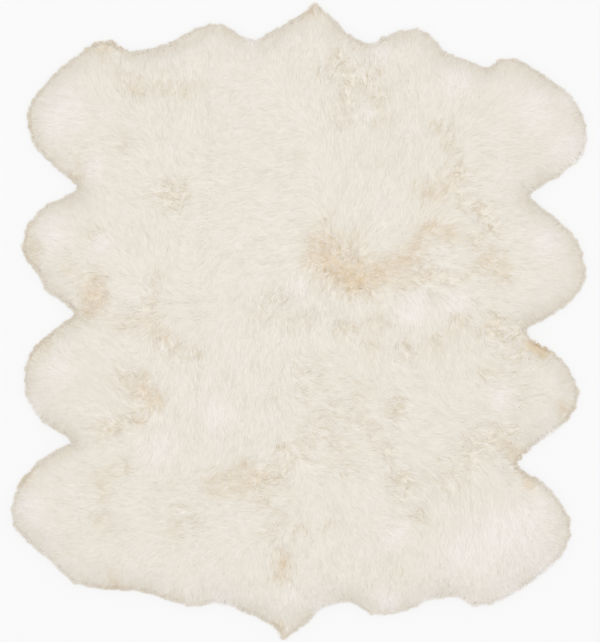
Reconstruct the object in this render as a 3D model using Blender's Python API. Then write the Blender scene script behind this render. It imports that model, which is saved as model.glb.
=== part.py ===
"""A sheepskin rug of six pelts, sewn edge to edge in two rows of three, lying wool side up.

Units are metres. +Z is up and +Y runs along the rug, towards the top tip. The origin is on the floor,
under the middle of the rug. The flesh side of every skin lies flat at z = 0.

Each pelt is one solid: its skin with the wool that grows from it, as a lumpy slab. The wool rises from
the edge in a rounded crown, sinks a little at the seams and at the places where it parts, and hangs over
the edge of the skin in separate locks that lie on the floor.
"""

import math
import random
from collections import namedtuple

import bmesh
import bpy
import numpy as np
from mathutils import Vector, noise
from mathutils.geometry import delaunay_2d_cdt

MM = 0.001

# ---- Driving dimensions ----
PILE_HEIGHT = 0.050  # top of the standing wool above the floor
RIM_HEIGHT = 0.015  # top of the wool where the slab ends and the locks begin
CROWN_WIDTH = 0.075  # how far in from there the wool has risen to its full height
LUMP_SIZE = 0.110  # spacing and height of the broad lumps in the wool
LUMP_HEIGHT = 0.0045
TUFT_SIZE = 0.048  # spacing and height of the tufts on them
TUFT_HEIGHT = 0.0030

SEAM_GAP = 0.0003  # between two pelts that are sewn together
SEAM_DEPTH = 0.006  # how far the wool sinks along a seam, and how far from it
SEAM_WIDTH = 0.020

LOCK_REACH = 0.030  # from the slab's edge to the tips of its locks
LOCK_PITCH = 0.0285  # width of a lock at its root
LOCK_SHORTEST, LOCK_LONGEST = 0.88, 1.08  # reach of a lock, as a share of its way to the visible edge
LOCK_BELLY = 0.55  # where a lock is still full, as a share of its reach
BELLY_WIDTH, BELLY_HEIGHT = 0.82, 0.011
TIP_WIDTH, TIP_HEIGHT = 0.26, 0.005  # widths are shares of the root's
LOCK_HOLLOW = 0.7  # reach in a hollow of the edge, as a share of the way to where its locks would meet
LOCK_LEAN = 0.20  # how far a tip leans to one side, as a share of the root's width

SURFACE_PITCH = 0.032  # spacing of the points that shape the top of the wool
CURVE_STEPS = 10  # steps of a curve between two of its points
CROWN_RINGS = (0.010, 0.028, 0.052)  # rows of surface points that follow the edge, by distance from it
WOOL_COLOUR = (0.85, 0.79, 0.70, 1.0)
WOOL_ROUGHNESS = 0.95

# ---- The visible edge of the wool, clockwise from above ----
# Each pelt's stretch starts at the end of a seam. "tip" and "notch" are corners, "round" is not.
EdgePoint = namedtuple("EdgePoint", "x_mm y_mm corner")
EDGE = {
    "top_middle": (
        (-248, 850, "round"),
        (-197, 840, "round"),
        (-171, 814, "round"),
        (-128, 806, "round"),
        (-70, 833, "round"),
        (-4, 870, "round"),
        (46, 914, "tip"),
        (86, 872, "round"),
        (133, 829, "round"),
        (203, 794, "round"),
        (253, 816, "round"),
    ),
    "top_right": (
        (310, 837, "round"),
        (378, 820, "round"),
        (399, 790, "round"),
        (409, 773, "round"),
        (475, 748, "round"),
        (542, 724, "round"),
        (569, 748, "round"),
        (612, 754, "round"),
        (694, 708, "round"),
        (781, 638, "round"),
        (825, 550, "round"),
        (813, 478, "round"),
        (753, 424, "round"),
        (684, 379, "round"),
        (654, 355, "notch"),
        (720, 303, "round"),
        (790, 241, "round"),
        (820, 159, "round"),
        (806, 90, "round"),
        (734, 27, "round"),
    ),
    "bottom_right": (
        (648, -20, "notch"),
        (671, -55, "round"),
        (711, -78, "round"),
        (766, -128, "round"),
        (800, -207, "round"),
        (781, -269, "round"),
        (713, -326, "round"),
        (664, -366, "round"),
        (619, -415, "notch"),
        (698, -473, "round"),
        (758, -536, "round"),
        (777, -613, "round"),
        (734, -691, "round"),
        (648, -756, "round"),
        (554, -813, "round"),
        (478, -816, "round"),
        (470, -796, "round"),
        (375, -800, "round"),
        (320, -825, "round"),
    ),
    "bottom_middle": (
        (260, -843, "round"),
        (194, -842, "round"),
        (152, -806, "round"),
        (59, -830, "round"),
        (10, -878, "round"),
        (-33, -896, "round"),
        (-47, -915, "tip"),
        (-78, -875, "round"),
        (-157, -835, "round"),
        (-236, -809, "round"),
    ),
    "bottom_left": (
        (-307, -822, "round"),
        (-372, -803, "round"),
        (-458, -776, "round"),
        (-573, -766, "round"),
        (-645, -754, "round"),
        (-702, -700, "round"),
        (-781, -633, "round"),
        (-827, -559, "round"),
        (-796, -454, "round"),
        (-724, -392, "round"),
        (-651, -349, "notch"),
        (-697, -313, "round"),
        (-744, -280, "round"),
        (-789, -192, "round"),
        (-777, -99, "round"),
        (-710, -32, "round"),
    ),
    "top_left": (
        (-638, 19, "notch"),
        (-673, 48, "round"),
        (-731, 95, "round"),
        (-744, 131, "round"),
        (-792, 191, "round"),
        (-786, 267, "round"),
        (-757, 302, "round"),
        (-718, 333, "round"),
        (-645, 368, "round"),
        (-633, 389, "notch"),
        (-713, 450, "round"),
        (-771, 526, "round"),
        (-777, 612, "round"),
        (-717, 691, "round"),
        (-641, 757, "round"),
        (-588, 794, "round"),
        (-537, 803, "round"),
        (-513, 780, "round"),
        (-465, 773, "round"),
        (-372, 794, "round"),
        (-307, 835, "round"),
    ),
}
EDGE = {pelt: [EdgePoint(*row) for row in rows] for pelt, rows in EDGE.items()}

# ---- The seams ----
# The inner corners where four pelts meet, and the bend in the middle of each seam.
Place = namedtuple("Place", "x_mm y_mm")
CROSSINGS = {"cross_left": Place(-285, 50), "cross_right": Place(275, 95)}
SEAM_BENDS = {
    ("top_middle", "cross_left"): Place(-255, 450),
    ("top_right", "cross_right"): Place(305, 460),
    ("bottom_right", "cross_right"): Place(455, 55),
    ("bottom_middle", "cross_right"): Place(262, -370),
    ("bottom_left", "cross_left"): Place(-302, -390),
    ("top_left", "cross_left"): Place(-455, 42),
    ("cross_left", "cross_right"): Place(-10, 82),
}
# The corners of each pelt, clockwise. A corner at the edge is named for the pelt whose stretch starts there.
PELT_CORNERS = {
    "top_left": ("top_left", "top_middle", "cross_left"),
    "top_middle": ("top_middle", "top_right", "cross_right", "cross_left"),
    "top_right": ("top_right", "bottom_right", "cross_right"),
    "bottom_right": ("bottom_right", "bottom_middle", "cross_right"),
    "bottom_middle": ("bottom_middle", "bottom_left", "cross_left", "cross_right"),
    "bottom_left": ("bottom_left", "top_left", "cross_left"),
}

# ---- Where the wool parts and lies lower ----
Parting = namedtuple("Parting", "x_mm y_mm long_mm wide_mm turn_deg deep_mm")
PARTINGS = (
    Parting(110, 165, 95, 55, -35, 11),
    Parting(215, 145, 95, 40, 10, 8),
    Parting(350, 205, 75, 38, 40, 6),
    Parting(435, 375, 75, 35, 75, 5),
    Parting(125, 640, 120, 22, 85, 6),
    Parting(-350, 355, 42, 34, 0, 7),
    Parting(-400, 660, 110, 26, -5, 5),
    Parting(-600, 90, 48, 34, 40, 6),
    Parting(-445, -200, 62, 44, -25, 9),
    Parting(-535, -310, 60, 24, 15, 6),
    Parting(-185, -455, 85, 45, 5, 8),
    Parting(-48, -665, 85, 24, 82, 9),
    Parting(265, -240, 48, 30, 20, 5),
    Parting(600, -350, 60, 30, -50, 6),
    Parting(335, -545, 42, 36, 0, 4),
)


def smooth_through(points, corners=(), closed=False):
    """A centripetal Catmull-Rom curve through the points, which turns sharply at the corners' indices."""
    points = [np.array(p, float) for p in points]
    count = len(points)
    made = []
    for i in range(count if closed else count - 1):
        start, end = points[i], points[(i + 1) % count]
        free_start = i in corners or (not closed and i == 0)
        free_end = (i + 1) % count in corners or (not closed and i == count - 2)
        before = 2 * start - end if free_start else points[i - 1]
        after = 2 * end - start if free_end else points[(i + 2) % count]
        t0, t1 = 0.0, math.sqrt(math.dist(before, start))
        t2 = t1 + math.sqrt(math.dist(start, end))
        t3 = t2 + math.sqrt(math.dist(end, after))
        for t in np.linspace(t1, t2, CURVE_STEPS, endpoint=False):
            a = mixed(before, start, t, t0, t1)
            b = mixed(start, end, t, t1, t2)
            c = mixed(end, after, t, t2, t3)
            made.append(mixed(mixed(a, b, t, t0, t2), mixed(b, c, t, t1, t3), t, t1, t2))
    if not closed:
        made.append(points[-1])
    return np.array(made)


def mixed(a, b, t, ta, tb):
    """The point at t on the line that is at a when t is ta and at b when it is tb."""
    return a + (b - a) * (t - ta) / (tb - ta)


def resampled(line, pitch, tips=()):
    """Points along an open line at about the pitch, both ends kept. Each tip has a side centred on it."""
    lengths = np.r_[0, np.cumsum(np.linalg.norm(np.diff(line, axis=0), axis=1))]
    marks = [0.0, lengths[-1]]
    for tip in tips:
        middle = lengths[np.linalg.norm(line - tip, axis=1).argmin()]
        marks[-1:-1] = [middle - pitch / 2, middle + pitch / 2]
    at = [np.linspace(a, b, max(1, round((b - a) / pitch)), endpoint=False) for a, b in zip(marks, marks[1:])]
    at = np.concatenate([*at, marks[-1:]])
    return np.stack([np.interp(at, lengths, line[:, k]) for k in (0, 1)], axis=1)


def distance_to(places, line):
    """How far each place is from an open line of points, in plan."""
    start, side = line[:-1], np.diff(line, axis=0)
    away = places[:, None, :] - start[None]
    share = (away * side).sum(2) / np.maximum((side**2).sum(1), 1e-12)
    away -= np.clip(share, 0, 1)[..., None] * side
    return np.linalg.norm(away, axis=2).min(1)


def inward(line):
    """Unit vectors to the right of each point of a closed line, which is inwards on a clockwise one."""
    along = np.roll(line, -1, axis=0) - np.roll(line, 1, axis=0)
    along /= np.linalg.norm(along, axis=1)[:, None]
    return np.stack([along[:, 1], -along[:, 0]], axis=1)


def inset(line, distance):
    """A closed clockwise line moved inwards, less the points that a narrow tip would fold over."""
    moved = line + inward(line) * distance
    whole = np.vstack([line, line[:1]])
    return moved[distance_to(moved, whole) > 0.97 * distance]


def visible_edge():
    """The whole edge of the wool as one closed clockwise line, and where each pelt's stretch starts on it."""
    rows = [row for stretch in EDGE.values() for row in stretch]
    corners = {i for i, row in enumerate(rows) if row.corner != "round"}
    line = smooth_through([(row.x_mm * MM, row.y_mm * MM) for row in rows], corners, closed=True)
    starts = {pelt: np.array([stretch[0].x_mm, stretch[0].y_mm]) * MM for pelt, stretch in EDGE.items()}
    return line, starts


def slab_edges(edge, starts):
    """Each pelt's stretch of the slab's edge, which lies a lock's reach inside the visible one."""
    inner = inset(edge, LOCK_REACH)
    at = {pelt: int(np.linalg.norm(inner - place, axis=1).argmin()) for pelt, place in starts.items()}
    stretches = {}
    for pelt, following in zip(EDGE, [*list(EDGE)[1:], next(iter(EDGE))]):
        count = (at[following] - at[pelt]) % len(inner)
        stretch = inner[(at[pelt] + np.arange(count + 1)) % len(inner)]
        tips = [np.array([row.x_mm, row.y_mm]) * MM for row in EDGE[pelt] if row.corner == "tip"]
        stretches[pelt] = resampled(stretch, LOCK_PITCH, tips)
    return stretches


def seam_lines(stretches):
    """The middle of each seam, from one named corner to the other."""
    corners = {name: np.array(place) * MM for name, place in CROSSINGS.items()}
    corners |= {pelt: stretch[0] for pelt, stretch in stretches.items()}
    return {
        (a, b): resampled(smooth_through([corners[a], np.array(bend) * MM, corners[b]]), SURFACE_PITCH)
        for (a, b), bend in SEAM_BENDS.items()
    }


def pelt_plan(pelt, stretches, seams):
    """A pelt's outline in plan, clockwise, and how many of its sides belong to the slab's edge."""
    edge = stretches[pelt]
    points = list(edge)
    names = PELT_CORNERS[pelt]
    for a, b in zip(names[1:], [*names[2:], names[0]]):
        points += list(seams[a, b][1:] if (a, b) in seams else seams[b, a][::-1][1:])
    points = np.array(points[:-1])
    sides = np.roll(points, -1, axis=0) - points
    sides /= np.linalg.norm(sides, axis=1)[:, None]
    into = np.stack([sides[:, 1], -sides[:, 0]], axis=1)
    into[: len(edge) - 1] = 0  # the outer edge keeps its place, and each seam gives up half the gap
    before = np.roll(into, 1, axis=0)
    shared = 1 + (into * before).sum(1)
    moved = points + (into + before) / np.maximum(shared, 0.5)[:, None] * SEAM_GAP / 2
    return moved, len(edge) - 1


def wool_height(places, rim, seams):
    """Height of the top of the wool over the floor, at places in plan."""
    risen = np.clip(distance_to(places, rim) / CROWN_WIDTH, 0, 1)
    height = RIM_HEIGHT + (PILE_HEIGHT - RIM_HEIGHT) * np.sqrt(1 - (1 - risen) ** 2)
    lumps = np.array(
        [
            LUMP_HEIGHT * noise.noise(Vector((x / LUMP_SIZE, y / LUMP_SIZE, 0.0)))
            + TUFT_HEIGHT * noise.noise(Vector((x / TUFT_SIZE, y / TUFT_SIZE, 7.0)))
            for x, y in places
        ]
    )
    height += 2 * lumps * (0.35 + 0.65 * risen)  # the noise runs to about half of its unit
    sunk = SEAM_DEPTH * np.exp(-((distance_to_seams(places, seams) / SEAM_WIDTH) ** 2))
    for row in PARTINGS:
        turn = math.radians(row.turn_deg)
        away = places - np.array([row.x_mm, row.y_mm]) * MM
        along = (away @ [math.cos(turn), math.sin(turn)]) / (row.long_mm * MM)
        across = (away @ [-math.sin(turn), math.cos(turn)]) / (row.wide_mm * MM)
        sunk += row.deep_mm * MM * np.exp(-(along**2 + across**2))
    return height - sunk * risen


def distance_to_seams(places, seams):
    """How far each place is from the nearest seam, in plan."""
    return np.min([distance_to(places, line) for line in seams.values()], axis=0)


def surface_points(plan, rim, draw):
    """Points inside a pelt's outline that shape its top: rows along the rug's edge, then an uneven grid."""
    whole = np.vstack([plan, plan[:1]])
    kept = []
    for ring in CROWN_RINGS:
        row = rim[:-1] + inward(rim[:-1]) * ring
        row = row[(distance_to(row, rim) > 0.9 * ring) & inside(row, plan)]
        kept += list(row[distance_to(row, whole) > 0.7 * ring])
    pitch = SURFACE_PITCH
    low, high = plan.min(0), plan.max(0)
    grid = []
    for row, y in enumerate(np.arange(low[1], high[1], pitch * math.sqrt(0.75))):
        for x in np.arange(low[0] + row % 2 * pitch / 2, high[0], pitch):
            grid.append((x + draw.uniform(-0.2, 0.2) * pitch, y + draw.uniform(-0.2, 0.2) * pitch))
    grid = np.array(grid)
    grid = grid[inside(grid, plan)]
    grid = grid[distance_to(grid, rim) > CROWN_RINGS[-1] + 0.6 * pitch]
    return np.array(kept + list(grid[distance_to(grid, whole) > 0.6 * pitch]))


def inside(places, outline):
    """Which places lie inside a closed outline, by counting the sides that a line to the right crosses."""
    x, y = places[:, :1], places[:, 1:]
    ax, ay = outline[:, 0], outline[:, 1]
    bx, by = np.roll(ax, -1), np.roll(ay, -1)
    rise = np.where(by == ay, 1e-12, by - ay)
    return (((ay > y) != (by > y)) & (x < ax + (y - ay) * (bx - ax) / rise)).sum(1) % 2 == 1


def slab(plan, tops, inner_points, inner_tops):
    """A closed slab on the floor with its top through the points, as a bmesh, and its side faces in order."""
    count = len(plan)
    flat = [Vector(p) for p in [*plan, *inner_points]]
    heights = [*tops, *inner_tops]
    backwards = list(range(count))[::-1]  # the triangulation keeps the inside of an anticlockwise face
    _, _, faces, sources, _, _ = delaunay_2d_cdt(flat, [], [backwards], 1, 1e-7)
    source = [s[0] for s in sources]
    bm = bmesh.new()
    upper = [bm.verts.new((*place, height)) for place, height in zip(flat, heights)]
    lower = [bm.verts.new((*place, 0.0)) for place in flat[:count]]
    for face in faces:
        bm.faces.new([upper[source[v]] for v in face])
    bm.faces.new(lower)
    sides = []
    for i in range(count):
        j = (i + 1) % count
        sides.append(bm.faces.new((lower[j], lower[i], upper[i], upper[j])))
    bmesh.ops.recalc_face_normals(bm, faces=bm.faces)
    return bm, sides


def grow_locks(bm, roots, spans, edge, draw):
    """Pulls every root face out to the visible edge as a tapered lock of four sides that lies on the floor.

    A lock stays between the outward lines from the two ends of its root, so it never meets the next one.
    """
    ring = np.vstack([edge, edge[:1]])
    for face, (ends, outward) in zip(roots, spans):
        middle, direction = ends.mean(0), outward.mean(0)
        direction /= np.linalg.norm(direction)
        turn = float(np.dot(outward[1] - outward[0], ends[1] - ends[0])) / math.dist(*ends) ** 2
        reach = reach_to(middle, direction, ring)
        if reach < 1.25 * LOCK_REACH:  # the lock at a tip of the rug goes all the way
            reach *= draw.uniform(LOCK_SHORTEST, LOCK_LONGEST)
        if turn < 0:  # the two lines meet in a hollow of the edge
            reach = min(reach, -LOCK_HOLLOW / turn)
        lean = draw.uniform(-LOCK_LEAN, LOCK_LEAN)
        for share, wide, height in ((LOCK_BELLY, BELLY_WIDTH, BELLY_HEIGHT), (1.0, TIP_WIDTH, TIP_HEIGHT)):
            first, last = ends + outward * reach * share
            face = bmesh.ops.extrude_discrete_faces(bm, faces=[face])["faces"][0]
            for vert in face.verts:
                at_end = np.dot(np.array(vert.co[:2]) - middle, ends[1] - ends[0]) > 0
                along = 0.5 + lean * share**2 + (wide if at_end else -wide) / 2
                vert.co = (*(first + (last - first) * along), height if vert.co.z > 0 else 0.0)


def reach_to(start, direction, ring):
    """How far a level line from the start runs to the visible edge, within a lock's likely reach."""
    side, away = np.diff(ring, axis=0), ring[:-1] - start
    cross = direction[0] * side[:, 1] - direction[1] * side[:, 0]
    cross = np.where(abs(cross) < 1e-12, 1e-12, cross)
    distance = (away[:, 0] * side[:, 1] - away[:, 1] * side[:, 0]) / cross
    share = (away[:, 0] * direction[1] - away[:, 1] * direction[0]) / cross
    hits = distance[(share >= 0) & (share <= 1) & (distance > 0)]
    return min(hits.min() if len(hits) else LOCK_REACH, 2 * LOCK_REACH)


def wool(name):
    """The material of one pelt: ivory wool, without shine."""
    material = bpy.data.materials.new(name)
    material.use_nodes = True
    shader = material.node_tree.nodes["Principled BSDF"]
    shader.inputs["Base Color"].default_value = WOOL_COLOUR
    shader.inputs["Roughness"].default_value = WOOL_ROUGHNESS
    material.diffuse_color = WOOL_COLOUR
    return material


def main():
    for obj in list(bpy.data.objects):
        bpy.data.objects.remove(obj, do_unlink=True)
    edge, starts = visible_edge()
    stretches = slab_edges(edge, starts)
    seams = seam_lines(stretches)
    rim = np.vstack([stretch[:-1] for stretch in stretches.values()])
    outward = -inward(rim)
    rim = np.vstack([rim, rim[:1]])
    first = 0  # where the pelt's stretch starts on the rim
    pelts = []
    for number, pelt in enumerate(EDGE):
        draw = random.Random(number)
        plan, edge_sides = pelt_plan(pelt, stretches, seams)
        points = surface_points(plan, rim, draw)
        heights = wool_height(np.vstack([plan, points]), rim, seams)
        bm, sides = slab(plan, heights[: len(plan)], points, heights[len(plan) :])
        spans = [
            (plan[i : i + 2], outward[[first + i, (first + i + 1) % len(outward)]]) for i in range(edge_sides)
        ]
        grow_locks(bm, sides[:edge_sides], spans, edge, draw)
        first += edge_sides
        mesh = bpy.data.meshes.new(f"pelt_{pelt}")
        bm.to_mesh(mesh)
        bm.free()
        mesh.materials.append(wool(f"wool_{pelt}"))
        mesh.shade_smooth()
        obj = bpy.data.objects.new(f"pelt_{pelt}", mesh)
        bpy.context.scene.collection.objects.link(obj)
        pelts.append(mesh)
    centre_on_origin(pelts)


def centre_on_origin(meshes):
    """Moves the meshes together, in plan, so that their common box is centred on the origin."""
    places = np.array([vert.co for mesh in meshes for vert in mesh.vertices])
    middle = (places.min(0) + places.max(0)) / 2
    for mesh in meshes:
        for vert in mesh.vertices:
            vert.co.x -= middle[0]
            vert.co.y -= middle[1]


main()
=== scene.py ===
"""A sheepskin rug of six pelts: suede skins sewn edge to edge, with long combed wool growing from them.

Metres, +Z up, the rug flat on the floor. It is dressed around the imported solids, from the skins up.
"""
import math
from functools import partial

import bmesh
import bpy
import numpy as np
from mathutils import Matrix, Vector
from mathutils.bvhtree import BVHTree
from mathutils.geometry import delaunay_2d_cdt


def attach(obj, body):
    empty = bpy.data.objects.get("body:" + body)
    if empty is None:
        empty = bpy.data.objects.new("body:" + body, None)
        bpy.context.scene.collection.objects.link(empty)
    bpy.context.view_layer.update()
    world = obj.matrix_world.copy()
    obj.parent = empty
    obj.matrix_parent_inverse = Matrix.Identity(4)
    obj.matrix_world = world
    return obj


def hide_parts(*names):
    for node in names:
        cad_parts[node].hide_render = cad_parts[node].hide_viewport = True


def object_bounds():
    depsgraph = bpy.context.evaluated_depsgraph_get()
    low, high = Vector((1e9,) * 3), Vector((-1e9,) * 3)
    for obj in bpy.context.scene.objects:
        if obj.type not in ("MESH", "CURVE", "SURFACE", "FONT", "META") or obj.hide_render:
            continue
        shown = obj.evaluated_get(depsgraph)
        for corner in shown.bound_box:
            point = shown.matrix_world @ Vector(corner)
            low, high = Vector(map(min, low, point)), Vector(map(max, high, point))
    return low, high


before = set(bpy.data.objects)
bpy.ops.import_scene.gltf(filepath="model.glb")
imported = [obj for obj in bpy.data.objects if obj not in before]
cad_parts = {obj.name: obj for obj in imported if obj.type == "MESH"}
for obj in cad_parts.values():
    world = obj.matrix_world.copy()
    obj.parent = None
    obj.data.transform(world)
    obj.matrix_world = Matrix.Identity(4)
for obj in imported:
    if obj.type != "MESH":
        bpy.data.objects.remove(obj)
cad_low, cad_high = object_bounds()
MM = 0.001

# ---------------------------------------------------------------- the six skins
# Each pelt is one tanned lambskin, flesh side down, cut to a butt joint with its neighbours and
# left in its own lobed shape at the rug's edge. The skin ends well inside the reach of its wool.
AROUND = (  # the pelts in the order in which the rug's edge meets them, anticlockwise from above
    "pelt_top_left",
    "pelt_bottom_left",
    "pelt_bottom_middle",
    "pelt_bottom_right",
    "pelt_top_right",
    "pelt_top_middle",
)
SKIN_UNDER = 0.8 * MM  # room below the skin for the sewing, which is what touches the floor
SKIN_THICK = 1.5 * MM
BELLY_TOP = 11 * MM  # heights of the solids' rim locks halfway along and at their tips
TIP_TOP = 5 * MM


def new_node(tree, kind, sockets=(), **settings):
    """A new node. Its sockets are given by name or in order, each as a value, as another node's
    socket, or as a node, which means the first of that node's outputs."""
    node = tree.nodes.new(kind)
    for name, value in settings.items():
        setattr(node, name, value)
    for name, value in sockets.items() if isinstance(sockets, dict) else enumerate(sockets):
        if isinstance(value, bpy.types.Node):
            value = value.outputs[0]
        if isinstance(value, bpy.types.NodeSocket):
            tree.links.new(value, node.inputs[name])
        else:
            node.inputs[name].default_value = value
    return node


def linear(hex_colour):
    """An sRGB hex colour as linear red, green, blue and alpha."""
    parts = [int(hex_colour[i : i + 2], 16) / 255 for i in (1, 3, 5)]
    return [p / 12.92 if p <= 0.04045 else ((p + 0.055) / 1.055) ** 2.4 for p in parts] + [1.0]


def new_material(name, numbers):
    """A material whose shader has these numbers all over, with its node tree and that shader."""
    material = bpy.data.materials.new(name)
    material.use_nodes = True
    shader = material.node_tree.nodes["Principled BSDF"]
    for socket, value in numbers.items():
        shader.inputs[socket].default_value = value
    return material, material.node_tree, shader


def new_mesh(name, places, edges=(), faces=()):
    mesh = bpy.data.meshes.new(name)
    mesh.from_pydata(places, edges, faces)
    return mesh


def placed(name, data):
    """A new object in the scene, of a mesh, a light or a camera."""
    thing = bpy.data.objects.new(name, data)
    bpy.context.collection.objects.link(thing)
    return thing


def ring_faces(count):
    """The faces between two closed lines of as many points, the second's numbered on from the first's."""
    return [(i, (i + 1) % count, (i + 1) % count + count, i + count) for i in range(count)]


def floor_walk(node):
    """The corners of a solid's underside, anticlockwise from above, each with the height above it."""
    bm = bmesh.new()
    bm.from_mesh(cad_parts[node].data)
    bmesh.ops.remove_doubles(bm, verts=bm.verts, dist=0.01 * MM)
    top = {}
    for vert in bm.verts:
        key = (round(vert.co.x, 5), round(vert.co.y, 5))
        top[key] = max(top.get(key, 0.0), vert.co.z)
    flat = dict.fromkeys(f for f in bm.faces if max(v.co.z for v in f.verts) < 0.01 * MM)  # in order
    before = {}
    for face in flat:
        for loop in face.loops:
            if sum(f in flat for f in loop.edge.link_faces) == 1:
                before[loop.link_loop_next.vert] = loop.vert
    vert = next(iter(before))
    corners = []
    for _ in range(len(before)):
        corners.append((vert.co.x, vert.co.y, top[round(vert.co.x, 5), round(vert.co.y, 5)]))
        vert = before[vert]
    bm.free()
    return np.array(corners)


def read_pelt(node):
    """A pelt's plan: the corners of its slab, the tip of each rim lock, and the lock after each corner."""
    walk = floor_walk(node)
    is_tip = abs(walk[:, 2] - TIP_TOP) < 0.01 * MM
    is_lock = is_tip | (abs(walk[:, 2] - BELLY_TOP) < 0.01 * MM)
    start = int(np.argmax(is_lock & ~np.roll(is_lock, 1) & ~np.roll(is_tip, 1)))
    walk, is_tip, is_lock = (np.roll(a, 1 - start, axis=0) for a in (walk, is_tip, is_lock))
    corners, tips, lock_after = [], [], {}
    for i in range(len(walk)):
        if not is_lock[i]:
            corners.append(walk[i, :2])
        elif is_tip[i] and is_tip[i - 1]:
            lock_after[len(corners) - 1] = len(tips)
            tips.append((walk[i, :2] + walk[i - 1, :2]) / 2)
    return np.array(corners), np.array(tips), lock_after


def solid_sheet(name, outline, low, high):
    """A closed flat sheet between two heights, its outline given anticlockwise from above."""
    count = len(outline)
    faces = [[*range(count)][::-1], [*range(count, 2 * count)], *ring_faces(count)]
    mesh = new_mesh(name, [(x, y, z) for z in (low, high) for x, y in outline], faces=faces)
    bm = bmesh.new()
    bm.from_mesh(mesh)
    bmesh.ops.triangulate(bm, faces=bm.faces)
    bm.to_mesh(mesh)
    bm.free()
    return placed(name, mesh)


def make_suede():
    """Suede, the buffed flesh side of a tanned lambskin: matt, with a short nap that catches the light,
    cloudy from the fat and the buffing wheel, and with fine veins and pores."""
    material, tree, shader = new_material(
        "lambskin_suede",
        {"Roughness": 0.92, "Sheen Weight": 0.35, "Sheen Roughness": 0.5, "IOR": 1.45},
    )
    add = partial(new_node, tree)
    place = add("ShaderNodeTexCoord").outputs["Object"]
    clouds = add("ShaderNodeTexNoise", {"Vector": place, "Scale": 9.0, "Detail": 5.0})  # 110 mm
    nap = add("ShaderNodeTexNoise", {"Vector": place, "Scale": 420.0, "Detail": 4.0})  # 2.4 mm
    hide = add("ShaderNodeValToRGB", {"Fac": clouds})
    for element, (at, colour) in zip(hide.color_ramp.elements, ((0.32, "#D6C5AB"), (0.70, "#E4D8C4"))):
        element.position = at
        element.color = linear(colour)
    cells = {"Vector": place, "Scale": 38.0, "Randomness": 1.0}  # 26 mm between veins
    veins = add("ShaderNodeTexVoronoi", cells, feature="DISTANCE_TO_EDGE")
    thin = {"Value": veins, "From Min": 0.0, "From Max": 0.05, "To Min": 0.10, "To Max": 0.0}
    lines = {"Factor": add("ShaderNodeMapRange", thin), "A": hide, "B": linear("#A98F70")}
    veined = add("ShaderNodeMix", lines, data_type="RGBA").outputs["Result"]
    buffing = {"Factor": 0.22, "A": veined, "B": nap}
    buffed = add("ShaderNodeMix", buffing, data_type="RGBA", blend_type="SOFT_LIGHT")
    tree.links.new(buffed.outputs["Result"], shader.inputs["Base Color"])
    bump = add("ShaderNodeBump", {"Height": nap, "Strength": 0.5, "Distance": 0.4 * MM})
    tree.links.new(bump.outputs["Normal"], shader.inputs["Normal"])
    return material


suede = make_suede()
plans = {node: read_pelt(node) for node in AROUND}
skins = {}
for node, (corners, _, _) in plans.items():
    skin = solid_sheet(node.replace("pelt", "skin"), corners, SKIN_UNDER, SKIN_UNDER + SKIN_THICK)
    skin.data.materials.append(suede)
    skins[node] = skin

# ---------------------------------------------------------------- the seams
# The skins are joined by a furrier's overcast seam, worked from the flesh side: a stout waxed thread
# goes over both edges every few millimetres, and lies on the suede as a row of slanting stitches.
SEWING = {  # the slant is from the line of the seam
    "Every": 5.0 * MM,
    "Long": 7.0 * MM,
    "Thick": 0.9 * MM,
    "Slant": math.radians(58),
}
SEWN_GAP = 2.0 * MM  # two corners this near belong to one seam


def sewn_line(node, others):
    """The stretches of a skin's outline that are sewn to the other skins, each as a list of places."""
    corners = plans[node][0]
    sewn = np.zeros(len(corners), dtype=bool)
    for other in others:
        apart = corners[:, None] - plans[other][0][None]
        sewn |= np.hypot(*apart.transpose(2, 0, 1)).min(1) < SEWN_GAP
    stretches = [[]]
    first = int(np.argmin(sewn))
    for i in [*range(first, len(sewn)), *range(first)]:
        if sewn[i]:
            stretches[-1].append(corners[i])
        elif stretches[-1]:
            stretches.append([])
    return [s for s in stretches if len(s) > 1]


def make_thread():
    """Waxed linen thread, twisted: a dull sheen, and darker in the lay of its twist, a painted shade in
    the grooves between its plies.
    """
    material, tree, shader = new_material("waxed_linen_thread", {"Roughness": 0.6})
    add = partial(new_node, tree)
    place = add("ShaderNodeTexCoord").outputs["Object"]
    lay = {"Vector": place, "Scale": 350.0, "Distortion": 2.0}  # 0.9 mm
    twist = add("ShaderNodeTexWave", lay).outputs["Fac"]
    twisted = {"Factor": twist, "A": linear("#CDBB9A"), "B": linear("#EFE4CC")}
    colour = add("ShaderNodeMix", twisted, data_type="RGBA")
    tree.links.new(colour.outputs["Result"], shader.inputs["Base Color"])
    return material


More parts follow.
